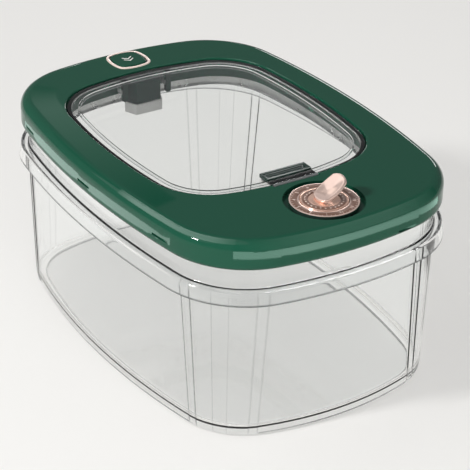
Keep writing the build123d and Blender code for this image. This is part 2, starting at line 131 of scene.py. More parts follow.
floor_mix = floor_tree.nodes.new("ShaderNodeMixShader")
floor_tree.links.new(seen, floor_mix.inputs[0])
floor_tree.links.new(floor_shader.outputs[0], floor_mix.inputs[1])
floor_tree.links.new(floor_glow.outputs[0], floor_mix.inputs[2])
floor_tree.links.new(floor_mix.outputs[0], floor_tree.nodes["Material Output"].inputs["Surface"])
floor_data.materials.append(floor_finish)
print("floor", floor_size, "m wide")

# %% Sky and lamps
sky_color, sky_strength = (0.95, 0.97, 1.0), 0.24
world = bpy.data.worlds.new("sky")
bpy.context.scene.world = world
world.use_nodes = True
sky = world.node_tree.nodes["Background"]
sky.inputs["Color"].default_value = (*sky_color, 1)
sky.inputs["Strength"].default_value = sky_strength


def area_lamp(name, matrix, size, power, gloss_only=False, gloss=True):
    """Rectangular lamp that the camera doesn't see, neither itself nor through clear plastic."""
    data = bpy.data.lights.new(name, "AREA")
    data.shape = "RECTANGLE"
    data.size, data.size_y = size
    data.energy = power
    lamp = bpy.data.objects.new(name, data)
    lamp.matrix_world = matrix
    lamp.visible_camera = lamp.visible_transmission = False
    lamp.visible_diffuse = not gloss_only
    lamp.visible_glossy = gloss
    bpy.context.scene.collection.objects.link(lamp)
    return lamp


def aimed(place, aim):
    """Matrix of a lamp that stands at a place and shines at an aim."""
    direction = (Vector(aim) - Vector(place)).to_track_quat("-Z", "Y")
    return Matrix.Translation(place) @ direction.to_matrix().to_4x4()


lid_middle = (0, 0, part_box("lid_frame")[1].z)
area_lamp("sun_lamp", aimed((2.05, -0.1, 1.6), lid_middle), size=(0.3, 0.3), power=50)
area_lamp("overhead", aimed((0.9, -0.4, 2.0), lid_middle), size=(2.8, 2.4), power=18)
area_lamp("front_fill", aimed((0.3, 2.2, 0.45), lid_middle), size=(1.6, 1.0), power=38, gloss=False)
area_lamp("back_strip", aimed((-1.53, -1.85, 0.87), lid_middle), size=(1.5, 0.16), power=6.0, gloss_only=True)
print("lamps set round", lid_middle)

# %% [markdown]
# ## Finishes
# Every finish is one Principled shader. What is the same all over is set on the shader itself, and a noise
# on Object coordinates varies only what really varies: a little roughness, and a faint ripple of the
# moulded surface. So a finish is a colour, a range of roughness, the scale of the noise that moves within
# that range, and what else the shader needs.

# %% Shader helpers
noise_detail, full_strength = 3, 1.0


def principled(name, color, **inputs):
    """Plain material: a colour, and other inputs of the shader by name."""
    material = bpy.data.materials.new(name)
    material.use_nodes = True
    shader = material.node_tree.nodes["Principled BSDF"]
    shader.inputs["Base Color"].default_value = (*color, 1)
    for socket, value in inputs.items():
        shader.inputs[socket.replace("_", " ")].default_value = value
    return material


def noise(material, scale):
    """Noise on Object coordinates."""
    tree = material.node_tree
    place = tree.nodes.new("ShaderNodeTexCoord")
    grain = tree.nodes.new("ShaderNodeTexNoise")
    grain.inputs["Scale"].default_value = scale
    grain.inputs["Detail"].default_value = noise_detail
    tree.links.new(place.outputs["Object"], grain.inputs["Vector"])
    return grain.outputs["Fac"]


def finish(name, color, roughness, scale, **inputs):
    """Material whose roughness wanders between two values, with a noise of the given scale."""
    material = principled(name, color, **inputs)
    tree = material.node_tree
    spread = tree.nodes.new("ShaderNodeMapRange")
    spread.inputs["To Min"].default_value, spread.inputs["To Max"].default_value = roughness
    tree.links.new(noise(material, scale), spread.inputs["Value"])
    tree.links.new(spread.outputs["Result"], tree.nodes["Principled BSDF"].inputs["Roughness"])
    return material


def ripple(material, scale, height):
    """Faint unevenness of a moulded surface."""
    tree = material.node_tree
    bump = tree.nodes.new("ShaderNodeBump")
    bump.inputs["Strength"].default_value = full_strength
    bump.inputs["Distance"].default_value = height
    tree.links.new(noise(material, scale), bump.inputs["Height"])
    tree.links.new(bump.outputs["Normal"], tree.nodes["Principled BSDF"].inputs["Normal"])


# %% Green mouldings
green_shell = finish("green_shell", (0.009, 0.064, 0.037), (0.015, 0.035), 60, IOR=1.5,
                     Specular_IOR_Level=0.2)
ripple(green_shell, scale=30, height=0.00001)
green_inner = finish("green_inner", (0.010, 0.042, 0.028), (0.3, 0.42), 120, IOR=1.5, Specular_IOR_Level=0.2)
print("green", green_shell.name, green_inner.name)

# %% Clear mouldings
clear_color, painted_shade_color = (0.97, 0.98, 0.98), (0.16, 0.17, 0.17)
clear_tub = finish("clear_tub", clear_color, (0.0, 0.05), 25, Transmission_Weight=1.0, IOR=1.45)
clear_tree = clear_tub.node_tree
# Painted shade: a grey line mixed into the clear colour along the marked edges, standing in for the dark
# lines that refraction shows there.
painted_edge_shade = clear_tree.nodes.new("ShaderNodeAttribute")
painted_edge_shade.attribute_name = "painted_edge_shade"
painted_shade_tint = clear_tree.nodes.new("ShaderNodeMix")
painted_shade_tint.data_type = "RGBA"
painted_shade_tint.inputs["A"].default_value = (*clear_color, 1)
painted_shade_tint.inputs["B"].default_value = (*painted_shade_color, 1)
clear_tree.links.new(painted_edge_shade.outputs["Fac"], painted_shade_tint.inputs["Factor"])
clear_tree.links.new(painted_shade_tint.outputs["Result"], clear_tree.nodes["Principled BSDF"].inputs["Base Color"])

clear_cover = finish("clear_cover", (0.98, 0.99, 0.985), (0.0, 0.03), 25, Transmission_Weight=1.0, IOR=1.45,
                     Specular_IOR_Level=0.25)
print("clear", clear_tub.name, clear_cover.name)

# %% Liner, seals, inner mouldings and steel
milky_liner = finish("milky_liner", (0.95, 0.955, 0.945), (0.22, 0.34), 80, Transmission_Weight=0.9, IOR=1.3)
white_seal = finish("white_seal", (0.74, 0.74, 0.72), (0.5, 0.65), 150)
grey_inner = finish("grey_inner", (0.78, 0.79, 0.77), (0.4, 0.52), 120)
pale_inner = finish("pale_inner", (0.95, 0.94, 0.92), (0.4, 0.52), 120)
steel = finish("steel", (0.62, 0.62, 0.62), (0.24, 0.38), 250, Metallic=1.0)
print("inner", milky_liner.name, white_seal.name, grey_inner.name, pale_inner.name, steel.name)

# %% Rose-gold plating
rose_gold = finish("rose_gold", (0.86, 0.56, 0.44), (0.16, 0.27), 90, Metallic=0.72)
polished_gold = finish("polished_gold", (0.93, 0.70, 0.61), (0.08, 0.15), 70, Metallic=0.65)
engraved_gold = finish("engraved_gold", (0.19, 0.095, 0.063), (0.35, 0.5), 200, Metallic=0.35)
pale_gold = finish("pale_gold", (0.93, 0.76, 0.68), (0.15, 0.26), 150, Metallic=0.3)
print("gold", rose_gold.name, polished_gold.name, engraved_gold.name, pale_gold.name)

# %% Small dark and pale finishes
# Dark plastic of the hinge block; the same finish is painted shade on the dial ring's outer wall and in the
# button ring's step.
dark_block_and_shade = finish("dark_block_and_shade", (0.014, 0.030, 0.024), (0.14, 0.26), 150, IOR=1.5)
mark_white = finish("mark_white", (0.75, 0.74, 0.70), (0.35, 0.5), 200)
print("small", dark_block_and_shade.name, mark_white.name)

# %% Dress the CAD nodes
dressing = {
    "tub": clear_tub, "flip_cover": clear_cover, "lid_frame": green_shell, "button_cap": green_shell,
    "lid_liner": milky_liner, "lid_seal": white_seal, "cover_seal": white_seal,
    "cover_hooks": green_inner, "hinge_block": green_inner, "latch_housing": green_inner,
    "latch_guide": pale_inner, "latch_slider": grey_inner, "button_guide": grey_inner,
    "dial_shaft": grey_inner, "button_ring": polished_gold, "dial_face": rose_gold, "dial_disc": rose_gold,
    "dial_lever": rose_gold, "lid_screws": steel, "hinge_screws": steel, "hinge_pin": steel,
    "button_spring": steel, "dial_clip": steel,
}
for name, material in dressing.items():
    nodes[name].data.materials.clear()
    nodes[name].data.materials.append(material)
print("dressed", len(dressing), "nodes")

# %% [markdown]
# ## The tub
# The tub is injection moulded: a thin clear wall that widens upwards, a thick foot, a hanging collar that
# stiffens the mouth, and a straight neck that the lid fits over. Clear plastic shows itself only where it
# bends, so every edge needs a true small radius. The wall's plan isn't an ellipse or a rounded box. It is
# four bowed sides joined by four round corners, so one ring of vertices is laid on that plan, and extruding
# the ring's edges again and again, with each new ring laid on its own inset and height, draws the whole
# section in one skin. The edges of chosen rings are then bevelled.


# %% Plan of the tub
class Plan:
    """Four bowed sides and four round corners, in millimetres."""

    def __init__(self, half_length, half_width, long_bow, short_bow, corner):
        self.half_length, self.half_width, self.corner = half_length, half_width, corner
        self.long_radius = (half_length ** 2 + long_bow ** 2) / (2 * long_bow)
        self.short_radius = (half_width ** 2 + short_bow ** 2) / (2 * short_bow)
        side, end = half_width - self.long_radius, half_length - self.short_radius
        span = math.hypot(side, end)
        reach_long, reach_short = self.long_radius - corner, self.short_radius - corner
        along = (reach_long ** 2 - reach_short ** 2 + span ** 2) / (2 * span)
        across = math.sqrt(reach_long ** 2 - along ** 2)
        self.x = side - (along * side + across * end) / span
        self.y = (along * end - across * side) / span
        self.long_angle = math.atan2(self.y, self.x - side)
        self.short_angle = math.atan2(self.y - end, self.x)

    def quarter(self, run, inset):
        """Point of the +X +Y quarter: run goes 0 to 1 on the side, to 2 round the corner, to 3 on the end."""
        if run <= 1:
            angle, radius = run * self.long_angle, self.long_radius - inset
            return self.half_width - self.long_radius + radius * math.cos(angle), radius * math.sin(angle)
        if run <= 2:
            angle = self.long_angle + (run - 1) * (self.short_angle - self.long_angle)
            radius = self.corner - inset
            return self.x + radius * math.cos(angle), self.y + radius * math.sin(angle)
        angle = self.short_angle + (run - 2) * (math.pi / 2 - self.short_angle)
        radius = self.short_radius - inset
        return radius * math.cos(angle), self.half_length - self.short_radius + radius * math.sin(angle)


rim_plan = Plan(half_length=188.0, half_width=132.3, long_bow=22.5, short_bow=25.1, corner=72.3)
base_plan = Plan(half_length=184.5, half_width=126.3, long_bow=27.0, short_bow=33.0, corner=61.0)
print("corner of the rim", round(rim_plan.x, 1), round(rim_plan.y, 1))

# %% [markdown]
# Each corner carries a raised upright band with two small steps at each side, which show as thin dark
# lines. A step needs vertices close together, so the runs are dense there and wide apart elsewhere. The
# steps, two more lines on the band and the collar's low edge also carry an attribute that the clear finish
# reads to paint a fine grey line there: painted shade that stands in for the dark line refraction shows at
# such an edge.

# %% Runs round the ring
step_edges, step_width, step_shifts = (0.060, 0.170), 0.014, (-0.6, 0, 0.5, 1, 1.6)
band_height = (0.55, 1.0)
painted_lines, painted_line_width = {0.400: 0.5, 0.565: 0.25}, 0.008
painted_side_share, painted_end_share, painted_line_slack, painted_line_relief = 1.0, 0.3, 0.1, 0.5
side_parts, corner_parts, end_parts = 20, 16, 16
steps = sorted({edge + shift * step_width for edge in step_edges for shift in step_shifts})
fine_runs = {line + shift * painted_line_width for line in painted_lines for shift in (-1, 0, 1)}
even_runs = (k / corner_parts for k in range(corner_parts + 1))
corner_runs = sorted({*steps, *(1 - step for step in steps), *fine_runs, *even_runs})
quarter_runs = ([k / side_parts for k in range(side_parts)] + [1 + run for run in corner_runs]
                + [2 + k / end_parts for k in range(1, end_parts + 1)])


def round_the_plan(runs):
    """All four quarters of a plan, from the runs of one, each with its signs of x and y."""
    return ([(run, 1, 1) for run in runs] + [(run, -1, 1) for run in reversed(runs[:-1])]
            + [(run, -1, -1) for run in runs[1:]] + [(run, 1, -1) for run in reversed(runs[1:-1])])


ring_runs = round_the_plan(quarter_runs)


def band(run):
    """How far the corner band stands out at a run, in millimetres."""
    if not 1 < run < 2:
        return 0.0
    depth = min(run - 1, 2 - run)
    heights = (0.0, *band_height)
    rise = 0.0
    for edge, low, high in zip(step_edges, heights, heights[1:]):
        rise += (high - low) * min(max((depth - edge) / step_width, 0.0), 1.0)
    return rise


def line_share(run):
    """How strongly the painted shade line shows at a run: full on the long side's steps, faint on the end's.
    """
    for line, share in painted_lines.items():
        if abs(run - 1 - line) < painted_line_width / 2:
            return share
    for depth, share in ((run - 1, painted_side_share), (2 - run, painted_end_share)):
        if any(-painted_line_slack < (depth - edge) / step_width < 1 + painted_line_slack for edge in step_edges):
            return share
    return 0.0


print("vertices in one ring", len(ring_runs))


# %% Extrude the section
def lay_ring(verts, blend, inset, height, relief):
    """Lay a ring of vertices between the base's plan and the rim's, raised where the corner bands are."""
    for vert in verts:
        run, flip_x, flip_y = ring_runs[vert[step_layer]]
        out = inset - relief * band(run)
        low, high = base_plan.quarter(run, out), rim_plan.quarter(run, out)
        x, y = (a + blend * (b - a) for a, b in zip(low, high))
        vert.co = Vector((flip_x * x, flip_y * y, height)) / 1000


def edges_of(made):
    """Open edges among what an operator made."""
    return [item for item in made if isinstance(item, bmesh.types.BMEdge) and item.is_boundary]


def verts_of(made):
    """Vertices among what an operator made."""
    return [item for item in made if isinstance(item, bmesh.types.BMVert)]


collar_low, collar_top, neck_top, floor_top = 127.0, 139.0, 164.0, 7.5
neck_inset, wall = 3.2, 2.6
inner_inset = neck_inset + wall


def wall_row(height, inset, relief=0.0, bevel=0.0):
    """Row of the tapered wall: it leans from the base plan out to the neck."""
    share = height / collar_low
    return share, inset + share * neck_inset, height, relief, bevel


# Each row: share of the rim's plan, inset, height, relief of the corner bands, bevel.
foot = [(0, 14, 4.5, 0, 0), (0, 9, 4.5, 0, 0.8), (0, 9, 2.5, 0, 0), (0, 9, 0, 0, 0.8), (0, 6, 0, 0, 0),
        (0, 0, 0, 0, 3.6)]
outside = [wall_row(7, 0, 0.8), wall_row(12, 0, 1), wall_row(45, 0, 1), wall_row(85, 0, 1),
           wall_row(124, 0, 1), (1, neck_inset, 128, 0.6, 0), (1, neck_inset, 135.4, 0, 0)]
collar = [(1, neck_inset, 136.6, 0, 0.5), (1, -1.0, 136.6, 0, 0.5), (1, -1.3, 134.5, 0, 0),
          (1, -3.4, 128.4, 0, 0), (1, -3.6, collar_low, 0, 0.6), (1, -5.8, collar_low, 0, 0.8),
          (1, -5.5, 129, 0, 0), (1, -4.0, 137.2, 0, 0), (1, -3.7, collar_top, 0, 1.4),
          (1, -1.6, collar_top, 0, 0), (1, 0.6, collar_top, 0, 0)]
neck = [(1, neck_inset, collar_top, 0, 1.2), (1, neck_inset, 142.4, 0, 0), (1, neck_inset, 162, 0, 0),
        (1, neck_inset, neck_top, 0, 0.7), (1, inner_inset, neck_top, 0, 0.7), (1, inner_inset, 162, 0, 0),
        (1, inner_inset, 129, 0, 0)]
inside_rows = [wall_row(124, wall), wall_row(85, wall), wall_row(45, wall), wall_row(15, wall),
               wall_row(floor_top, wall, 0, 4.6), (0, 12, floor_top, 0, 0), (0, 22, floor_top, 0, 0)]
section = foot + outside + collar + neck + inside_rows
start_radius = 0.1  # any size will do, because every vertex is laid in its place afterwards
tub_mesh = bmesh.new()
step_layer = tub_mesh.verts.layers.int.new("step")
row_layer = tub_mesh.verts.layers.int.new("row")
painted_line_layer = tub_mesh.verts.layers.float.new("painted_edge_shade")
ring = bmesh.ops.create_circle(tub_mesh, segments=len(ring_runs), radius=start_radius)["verts"]
for step, vert in enumerate(ring):
    vert[step_layer] = step
rim_edges = list(tub_mesh.edges)
bmesh.ops.contextual_create(tub_mesh, geom=rim_edges)
for row, (blend, inset, height, relief, bevel) in enumerate(section):
    if row:
        made = bmesh.ops.extrude_edge_only(tub_mesh, edges=rim_edges)["geom"]
        ring, rim_edges = verts_of(made), edges_of(made)
    lay_ring(ring, blend, inset, height, relief)
    for vert in ring:
        vert[row_layer] = row
        # Painted shade lines: on the band's steps and two more lines, and all round the collar's low edge.
        share = line_share(ring_runs[vert[step_layer]][0]) if relief > painted_line_relief else 0.0
        vert[painted_line_layer] = 1.0 if height == collar_low else share
bmesh.ops.contextual_create(tub_mesh, geom=rim_edges)
print("rings", len(section), "faces", len(tub_mesh.faces))


# %% Round the edges
def soften(mesh, edges, radius, segments):
    """Round some edges of a mesh."""
    bmesh.ops.bevel(mesh, geom=edges, offset=radius, segments=segments, profile=0.5, affect="EDGES",
                    material=-1, clamp_overlap=True)


def edges_of_row(row):
    return [edge for edge in tub_mesh.edges if all(vert[row_layer] == row for vert in edge.verts)]


wide_bevel, wide_segments, fine_segments = 2.0, 6, 3
bevels = [(row, entry[-1]) for row, entry in enumerate(section) if entry[-1]]
for row, radius in bevels:
    segments = wide_segments if radius > wide_bevel else fine_segments
    soften(tub_mesh, edges_of_row(row), radius / 1000, segments)
bmesh.ops.recalc_face_normals(tub_mesh, faces=tub_mesh.faces)


def make_piece(name, mesh, material, smooth=True):
    """Object made of a bmesh, which is used up."""
    data = bpy.data.meshes.new(name)
    for face in mesh.faces:
        face.smooth = smooth
    mesh.to_mesh(data)
    mesh.free()
    data.materials.append(material)
    piece = bpy.data.objects.new(name, data)
    bpy.context.scene.collection.objects.link(piece)
    return piece


tub_shell = make_piece("tub_shell", tub_mesh, clear_tub)
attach(tub_shell, "tub")
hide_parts("tub")
print("tub faces", len(tub_shell.data.polygons))

# %% [markdown]
# ## Cards for the lid's edge
# A polished edge shows a pale band where it mirrors something bright. Mirroring the line of sight in a
# point of the edge tells where that something has to be. So each band starts as a grid of points on the
# lid, and the mirrored spots of that grid, on the floor or on a high plane, are the corners of a glowing
# sheet. Only the gloss of the lid sees these sheets, so they don't light anything. The near shoulder turns
# through so wide an angle that its sheet is bent round it at a fixed distance. The dial's lever has a sheet
# of its own, and a lamp does the same for the collar and the hinge block.

# %% Mirror the line of sight
lid_bulge, lid_round = 3.0, 9.0
round_start = 1000 * lid_middle[2] - lid_round
floor_level, high_level, far_distance = 0.003, 1.95, 3.0
lid_only = bpy.data.collections.new("lid_only")
lid_only.objects.link(nodes["lid_frame"])
lever_only = bpy.data.collections.new("lever_only")
edges_only = bpy.data.collections.new("edges_only")
edges_only.objects.link(tub_shell)


def edge_point(run, flip_x, flip_y, height, inset=0.0):
    """Point on the lid's side and shoulder, or further in on its top, and the way the surface faces."""
    tilt = math.asin(min(max(height - round_start, 0) / lid_round, 1))
    inset += lid_round * (1 - math.cos(tilt)) - lid_bulge
    here, out = rim_plan.quarter(run, inset), rim_plan.quarter(run, inset - 1)
    signs = Vector((flip_x, flip_y, 0))
    point = signs * Vector((*here, 0)) / 1000 + Vector((0, 0, height / 1000))
    outward = (signs * Vector((out[0] - here[0], out[1] - here[1], 0))).normalized()
    return point, math.cos(tilt) * outward + Vector((0, 0, math.sin(tilt)))


def mirror_spot(point, normal, level):
    """Spot of a level plane that the camera sees in a polished point."""
    ray = (point - camera.matrix_world.translation).reflect(normal)
    return point + ray * (level - point.z) / ray.z


def far_spot(point, normal):
    """Spot at a fixed distance that the camera sees in a polished point."""
    return point + far_distance * (point - camera.matrix_world.translation).reflect(normal).normalized()


def mirror_grid(runs, heights, level):
    """Mirrored spots for a grid of points on the lid's edge, with a row for each run."""
    return [[mirror_spot(*edge_point(*run, height), level) for height in heights] for run in runs]


print("shoulder starts at", round(round_start, 1), "mm")


# %% Make a glowing sheet
def fade(rows, start=1.0, rise=1, end=1.0, fall=1):
    """Share of each row. Rise and fall are how many rows a whole share takes at the two ends."""
    last = len(rows) - 1
    return [min(1.0, start + k / rise, end + (last - k) / fall) for k in range(len(rows))]


def card(name, spots, shares, color, glow, receivers=lid_only):
    """Glowing sheet through a grid of spots. The shares fade it from row to row."""
    mesh = bmesh.new()
    share_layer = mesh.verts.layers.float.new("share")
    last_row, last_column = len(spots) - 1, len(spots[0]) - 1
    bmesh.ops.create_grid(mesh, x_segments=last_column, y_segments=last_row, size=0.5)
    for vert in mesh.verts:
        row, column = round((vert.co.y + 0.5) * last_row), round((vert.co.x + 0.5) * last_column)
        vert.co, vert[share_layer] = spots[row][column], shares[row]
    shine = principled(name, (0, 0, 0), Roughness=1.0, Specular_IOR_Level=0.0, Emission_Color=(*color, 1))
    tree = shine.node_tree
    share = tree.nodes.new("ShaderNodeAttribute")
    share.attribute_name = "share"
    power = tree.nodes.new("ShaderNodeMath")
    power.operation = "MULTIPLY"
    power.inputs[1].default_value = glow
    tree.links.new(share.outputs["Fac"], power.inputs[0])
    tree.links.new(power.outputs[0], tree.nodes["Principled BSDF"].inputs["Emission Strength"])
    sheet = make_piece(name, mesh, shine)
    sheet.visible_camera = sheet.visible_diffuse = sheet.visible_transmission = sheet.visible_shadow = False
    sheet.light_linking.receiver_collection = receivers
    return sheet


# %% Sheets for the side and the near end
pale, faint_green, pale_green = (1.0, 0.98, 0.93), (0.84, 1.0, 0.93), (0.68, 1.0, 0.86)
per_side, per_corner, near_rows, far_rows = 24, 40, 16, 13
side_runs = ([(k / per_side, 1, -1) for k in range(per_side, 0, -1)]
             + [(k / per_side, 1, 1) for k in range(per_side + 1)])
side_heights = (163.0, 167.0, 171.0)
side_card = card("side_card", mirror_grid(side_runs, side_heights, floor_level),
                 fade(side_runs, start=0.47, rise=72), faint_green, glow=4.6)

end_runs = ([(2 - k / per_corner, 1, 1) for k in range(near_rows, 0, -1)]
            + [(2 + k / per_side, 1, 1) for k in range(per_side)]
            + [(3 - k / per_side, -1, 1) for k in range(per_side)]
            + [(2 - k / per_corner, -1, 1) for k in range(far_rows)])
end_heights = (168.0, 170.5, 173.0, 173.5, 174.0, 174.5)
end_card = card("end_card", mirror_grid(end_runs, end_heights, floor_level),
                fade(end_runs, end=0.2944, fall=72), pale_green, glow=9.4)

near_heights = (175.0, 176.0, 177.5, 179.0, 180.2, 181.0, 181.3)
near_spots = [[far_spot(*edge_point(*run, height)) for height in near_heights] for run in end_runs]
near_card = card("near_card", near_spots, fade(end_runs, start=0.0, rise=24, end=0.0, fall=24), faint_green,
                 glow=1.9)
print("cards", side_card.name, end_card.name, near_card.name)

# %% Sheets for the shoulder, the top and the lever
streak_start, streak_step, streak_rows = 0.42, 0.1, 13
streak_runs = [(streak_start + k * streak_step, 1, 1) for k in range(streak_rows)]
streak_heights = (179.0, 179.8, 180.3, 180.8, 181.2, 181.5)
streak_card = card("streak_card", mirror_grid(streak_runs, streak_heights, high_level),
                   fade(streak_runs, start=0.3, rise=3, end=0.3, fall=3), faint_green, glow=6.4)

per_top = 8
top_runs = [(k / per_top, 1, -1) for k in range(12, 0, -1)] + [(k / per_top, 1, 1) for k in range(7)]
top_insets = (0.0, 8.0, 16.0, 22.0)
top_spots = [[mirror_spot(*edge_point(*run, 1000 * lid_middle[2], inset), high_level) for inset in top_insets]
             for run in top_runs]
top_card = card("top_card", top_spots, fade(top_runs, start=0.1, rise=7, end=0.0, fall=18), faint_green,
                glow=1.0)

lever_x, lever_y = (0.2, 0.75), (-2.9, -1.3)
lever_spots = [[Vector((x, y, high_level)) for x in lever_x] for y in lever_y]
lever_card = card("lever_card", lever_spots, fade(lever_spots), pale, glow=0.9, receivers=lever_only)
print("cards", streak_card.name, top_card.name, lever_card.name)

# %% Lamp for the collar's edge
collar_end, collar_spot = (0, 0.19, 0.14), (-0.71, 0.86, 1.55)
collar_lamp = area_lamp("collar_lamp", aimed(collar_spot, collar_end), size=(1.4, 1.4), power=100,
                        gloss_only=True)
collar_lamp.light_linking.receiver_collection = edges_only
print("lamp", collar_lamp.name)

# %% [markdown]
# ## The dial
# The dial is a rose-gold plated date marker. A fixed ring carries plain numbers, and a disc with a thumb
# lever turns inside it. Round metal parts like these are turned on a lathe, so each is one profile spun a
# full turn, with merged ends. The profile's small steps are what catch the light as engraved circles.

# %% Spin a turned part
turned_steps, sharp_angle, same_place = 96, math.radians(40), 1e-6


def turned(name, profile, centre_y, material, zones):
    """Spin a profile a full turn. Each zone gives another finish to the faces its test picks."""
    mesh = bmesh.new()
    verts = [mesh.verts.new((radius / 1000, centre_y / 1000, height / 1000)) for radius, height in profile]
    edges = [mesh.edges.new(pair) for pair in zip(verts, verts[1:])]
    bmesh.ops.spin(mesh, geom=verts + edges, cent=(0, centre_y / 1000, 0), axis=(0, 0, 1),
                   angle=2 * math.pi, steps=turned_steps, use_merge=True)
    bmesh.ops.remove_doubles(mesh, verts=mesh.verts, dist=same_place)
    bmesh.ops.recalc_face_normals(mesh, faces=mesh.faces)
    for face in mesh.faces:
        middle = 1000 * face.calc_center_median()
        radius = math.hypot(middle.x, middle.y - centre_y)
        for index, (_, inside) in enumerate(zones, 1):
            if inside(radius, middle.z):
                face.material_index = index
    piece = make_piece(name, mesh, material)
    for other, _ in zones:
        piece.data.materials.append(other)
    piece.data.set_sharp_from_angle(angle=sharp_angle)
    return piece


print("turned parts get", turned_steps, "steps")

# %% Ring and disc of the dial
dial_y, tracks_above = 147.0, 182.0
number_track, stud_track = (21.3, 26.6), (12.9, 17.5)
shaded_wall_radius, shaded_wall_top = 28.0, 181.5


def in_track(track):
    """Test for the faces at the bottom of an engraved track."""
    return lambda radius, height: track[0] < radius < track[1] and height > tracks_above


def on_wall(radius, height):
    """Test for the faces of the fixed ring's outer wall, which are painted dark as the shade of the recess.
    """
    return radius > shaded_wall_radius and height < shaded_wall_top


face_profile = [(20.0, 178.0), (28.1, 178.0), (28.1, 181.9), (27.95, 182.25), (27.6, 182.4), (26.9, 182.4),
                (26.7, 182.2), (26.6, 182.05), (26.4, 182.15), (21.5, 182.15), (21.3, 182.05), (21.2, 182.2),
                (21.0, 182.4), (20.3, 182.4), (20.1, 182.3), (20.0, 182.0), (20.0, 178.0)]
# The ring's outer wall gets the dark finish: painted shade of the recess round the dial.
dial_ring = turned("dial_ring", face_profile, dial_y, polished_gold,
                   [(engraved_gold, in_track(number_track)), (dark_block_and_shade, on_wall)])
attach(dial_ring, "lid")
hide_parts("dial_face")

disc_profile = [(0.0, 178.0), (19.6, 178.0), (19.6, 182.2), (19.45, 182.6), (19.1, 182.8), (17.9, 182.8),
                (17.7, 182.6), (17.5, 182.5), (17.3, 182.62), (13.1, 182.62), (12.9, 182.5), (12.7, 182.6),
                (12.5, 182.78), (0.0, 182.78)]
dial_plate = turned("dial_plate", disc_profile, dial_y, rose_gold, [(engraved_gold, in_track(stud_track))])
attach(dial_plate, "dial")
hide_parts("dial_disc")
print("turned parts", len(dial_ring.data.polygons), len(dial_plate.data.polygons))

# %% [markdown]
# The numbers 1 to 12 and the fine ticks stand on the fixed ring, and small studs run round the disc. Text
# is a curve in Blender, so each number is turned into a mesh first, and only then moved to its place.

# %% Numbers and ticks
number_size, number_depth, number_radius = 4.0, 0.09, 23.6
mark_level, tick_count, tick_radius, tick_size = 182.22, 48, 25.9, Vector((0.9, 0.3, 0.16))


def dial_place(radius, angle, height):
    """Matrix that moves a mark from the middle out to its place on the dial."""
    return (Matrix.Translation((0, dial_y / 1000, height / 1000)) @ Matrix.Rotation(angle, 4, "Z")
            @ Matrix.Translation((radius / 1000, 0, 0)))


def number_mesh(text):
    """Mesh of a number, from a text curve that is then removed."""
    curve = bpy.data.curves.new("number", "FONT")
    curve.body = text
    curve.size = number_size / 1000
    curve.extrude = number_depth / 1000
    curve.align_x, curve.align_y = "CENTER", "CENTER"
    writer = bpy.data.objects.new("number", curve)
    bpy.context.scene.collection.objects.link(writer)
    bpy.context.view_layer.update()
    mesh = bpy.data.meshes.new_from_object(writer.evaluated_get(bpy.context.evaluated_depsgraph_get()))
    bpy.data.objects.remove(writer)
    bpy.data.curves.remove(curve)
    return mesh


ring_marks = bmesh.new()
head_out = Matrix.Rotation(-math.pi / 2, 4, "Z")
for month in range(1, 13):
    digits = number_mesh(str(month))
    digits.transform(dial_place(number_radius, math.radians(90 - 30 * month), mark_level) @ head_out)
    ring_marks.from_mesh(digits)
    bpy.data.meshes.remove(digits)
for tick in range(tick_count):
    place = dial_place(tick_radius, 2 * math.pi * tick / tick_count, mark_level)
    bmesh.ops.create_cube(ring_marks, size=1, matrix=place @ Matrix.Diagonal((*tick_size / 1000, 1)))
dial_numbers = make_piece("dial_numbers", ring_marks, pale_gold, smooth=False)
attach(dial_numbers, "lid")
print("marks on the ring", len(dial_numbers.data.polygons))

# %% Studs
stud_count, stud_radius, stud_level, stud_sides = 24, 15.2, 182.68, 12
stud_foot, stud_top, stud_depth = 0.0007, 0.00055, 0.00022
disc_marks = bmesh.new()
for stud in range(stud_count):
    bmesh.ops.create_cone(disc_marks, cap_ends=True, segments=stud_sides, radius1=stud_foot, radius2=stud_top,
                          depth=stud_depth,
                          matrix=dial_place(stud_radius, 2 * math.pi * stud / stud_count, stud_level))
dial_studs = make_piece("dial_studs", disc_marks, pale_gold, smooth=False)
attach(dial_studs, "dial")
print("marks on the disc", len(dial_studs.data.polygons))

# %% [markdown]
# The lever is a dished thumb paddle on a short neck. The paddle is a grid whose square is pressed into a
# rounded oval, bent up along an arc and hollowed towards its middle. A thickness and a subdivision surface
# then make it as smooth as a polished casting.

# %% Thumb paddle
lever_length, lever_rise, lever_sag, lever_root = 25.0, 16.0, 1.5, 9.5
disc_top, paddle_half, paddle_dish, paddle_thick = 182.8, 10.2, 1.0, 3.2
paddle_middle, paddle_reach, paddle_lift, oval = 0.57, 0.47, 1.5, 0.36


def lever_lift(share):
    """Height of the lever's arc above the disc, at a share of its length."""
    return lever_rise * share - 4 * lever_sag * share * (1 - share)


def lever_slope(share):
    """Angle of that arc there."""
    return math.atan2(lever_rise - 4 * lever_sag * (1 - 2 * share), lever_length)


paddle_mesh = bmesh.new()
bmesh.ops.create_grid(paddle_mesh, x_segments=14, y_segments=10, size=1)
for vert in paddle_mesh.verts:
    along = vert.co.x * math.sqrt(1 - oval * vert.co.y ** 2)
    across = vert.co.y * math.sqrt(1 - oval * vert.co.x ** 2)
    share = paddle_middle + paddle_reach * along
    rise = paddle_lift - paddle_dish * (1 - along ** 2) * (1 - across ** 2)
    x = lever_length * share - lever_root - rise * math.sin(lever_slope(share))
    z = lever_lift(share) + rise * math.cos(lever_slope(share))
    vert.co = Vector((-x, dial_y - across * paddle_half, disc_top + z)) / 1000
bmesh.ops.recalc_face_normals(paddle_mesh, faces=paddle_mesh.faces)
if sum(face.normal.z for face in paddle_mesh.faces) < 0:
    bmesh.ops.reverse_faces(paddle_mesh, faces=paddle_mesh.faces)
thumb_paddle = make_piece("thumb_paddle", paddle_mesh, polished_gold)
plate = thumb_paddle.modifiers.new("plate", "SOLIDIFY")
